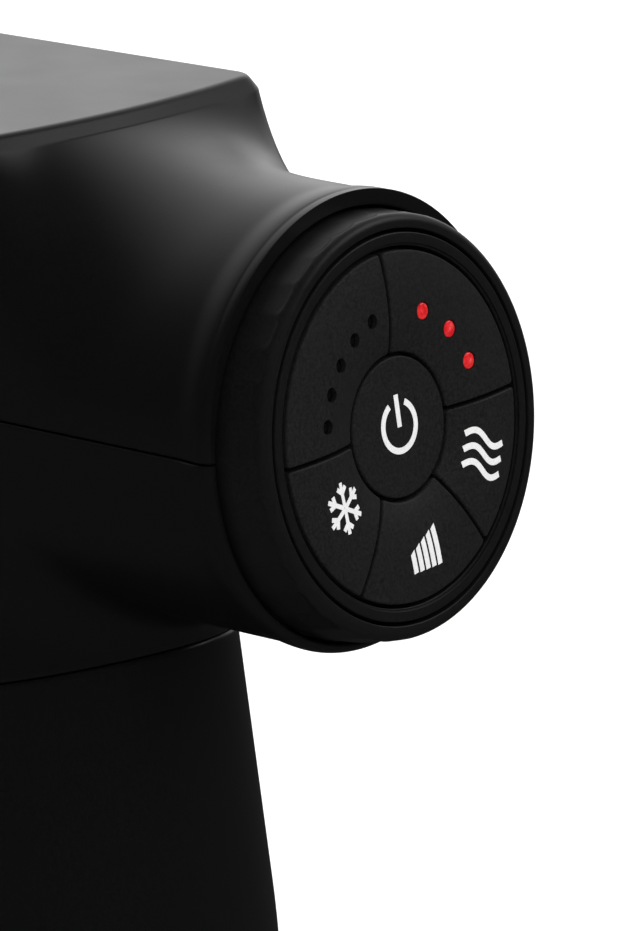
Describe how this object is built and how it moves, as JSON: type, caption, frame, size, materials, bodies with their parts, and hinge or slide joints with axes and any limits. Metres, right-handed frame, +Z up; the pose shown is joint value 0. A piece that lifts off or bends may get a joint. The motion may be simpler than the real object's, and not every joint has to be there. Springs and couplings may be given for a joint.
{
  "type": "percussion massager",
  "caption": "T-shaped hand-held percussion massager: cylindrical handle, barrel head with a tilted round key dial at the rear and a pull-off hot and cold head in front.",
  "frame": {"origin": "centre of the handle's flat foot, on the surface it stands on", "axes": "+Z up the handle, +X to the rear, where the dial is, so the massage head points along -X; +Y to the dial's right seen from the rear"},
  "size_m": [0.1813, 0.061, 0.209],
  "materials": {
    "anodised_aluminium": "fine-turned, anodised",
    "black_rubber": "matte black",
    "cell_wrap": "shrink-wrapped cell",
    "coated_key_black": "soft-touch coated black with light printed symbols",
    "fine_textured_abs": "fine-textured black",
    "green_board": "solder-masked board",
    "red_light_pipe": "clear red light pipe, lit",
    "satin_black_abs": "satin, fine-textured black",
    "sintered_bronze": "sintered bronze",
    "smoked_light_pipe": "smoked light pipe, unlit",
    "turned_steel": "turned",
    "white_acetal": "natural acetal",
    "white_ceramic": "white ceramic tile",
    "wound_copper": "enamelled copper windings"
  },
  "bodies": {
    "shell": {"base_cap": "satin_black_abs", "base_pad": "black_rubber", "base_screw_1": "turned_steel", "base_screw_2": "turned_steel", "battery_cell_1": "cell_wrap", "battery_cell_2": "cell_wrap", "battery_cell_3": "cell_wrap", "cell_holder_bottom": "white_acetal", "cell_holder_top": "white_acetal", "charge_board": "green_board", "control_board": "green_board", "dial_base": "fine_textured_abs", "dial_bezel": "fine_textured_abs", "dial_ring": "fine_textured_abs", "dial_screw_1": "turned_steel", "dial_screw_2": "turned_steel", "dial_screw_3": "turned_steel", "dust_seal": "black_rubber", "guide_bush": "sintered_bronze", "guide_sleeve": "anodised_aluminium", "handle_shell": "satin_black_abs", "heat_light_1": "red_light_pipe", "heat_light_2": "red_light_pipe", "heat_light_3": "red_light_pipe", "heat_panel": "coated_key_black", "key_mat": "black_rubber", "lower_housing": "satin_black_abs", "motor_bearing_lower": "turned_steel", "motor_bearing_upper": "turned_steel", "motor_mount": "anodised_aluminium", "motor_screw_1": "turned_steel", "motor_screw_2": "turned_steel", "motor_screw_3": "turned_steel", "motor_stator": "wound_copper", "nose_ring": "satin_black_abs", "speed_light_1": "smoked_light_pipe", "speed_light_2": "smoked_light_pipe", "speed_light_3": "smoked_light_pipe", "speed_light_4": "smoked_light_pipe", "speed_light_5": "smoked_light_pipe", "speed_panel": "coated_key_black", "upper_housing": "satin_black_abs", "usb_port": "turned_steel"},
    "rotor": {"motor_bell": "turned_steel", "crank_disc": "turned_steel"},
    "rod": {"connecting_rod": "anodised_aluminium", "rod_bearing": "sintered_bronze", "wrist_pin": "turned_steel"},
    "piston": {"piston": "turned_steel"},
    "head": {"head_body": "fine_textured_abs", "head_plate": "anodised_aluminium", "heat_sink": "anodised_aluminium", "thermo_tile": "white_ceramic"},
    "power_key": {"power_button": "coated_key_black"},
    "cold_key": {"cold_button": "coated_key_black"},
    "level_key": {"level_button": "coated_key_black"},
    "heat_key": {"heat_button": "coated_key_black"}
  },
  "joints": [
    {"name": "power_press", "type": "slide", "parent": "shell", "child": "power_key", "axis": [-0.9928, 0, -0.1201], "range_m": [0, 0.0005], "stiffness_N_per_m": 500, "springref_m": -0.0005},
    {"name": "cold_press", "type": "slide", "parent": "shell", "child": "cold_key", "axis": [-0.9928, 0, -0.1201], "range_m": [0, 0.0005], "stiffness_N_per_m": 500, "springref_m": -0.0005},
    {"name": "level_press", "type": "slide", "parent": "shell", "child": "level_key", "axis": [-0.9928, 0, -0.1201], "range_m": [0, 0.0005], "stiffness_N_per_m": 500, "springref_m": -0.0005},
    {"name": "heat_press", "type": "slide", "parent": "shell", "child": "heat_key", "axis": [-0.9928, 0, -0.1201], "range_m": [0, 0.0005], "stiffness_N_per_m": 500, "springref_m": -0.0005},
    {"name": "motor_spin", "type": "hinge", "parent": "shell", "child": "rotor", "pos_m": [0, 0, 0.1725], "axis": [0, 0, 1], "continuous": true},
    {"name": "rod_pivot", "type": "hinge", "parent": "rotor", "child": "rod", "pos_m": [-0.005, 0, 0.1725], "axis": [0, 0, 1], "continuous": true},
    {"name": "piston_stroke", "type": "slide", "parent": "shell", "child": "piston", "axis": [1, 0, 0], "range_m": [0, 0.01]},
    {"name": "head_pull", "type": "slide", "parent": "piston", "child": "head", "axis": [-1, 0, 0], "range_m": [0, 0.016]}
  ],
  "couplings": [
    {"joint": "rod_pivot", "follows": "motor_spin", "ratio": -1}
  ]
}
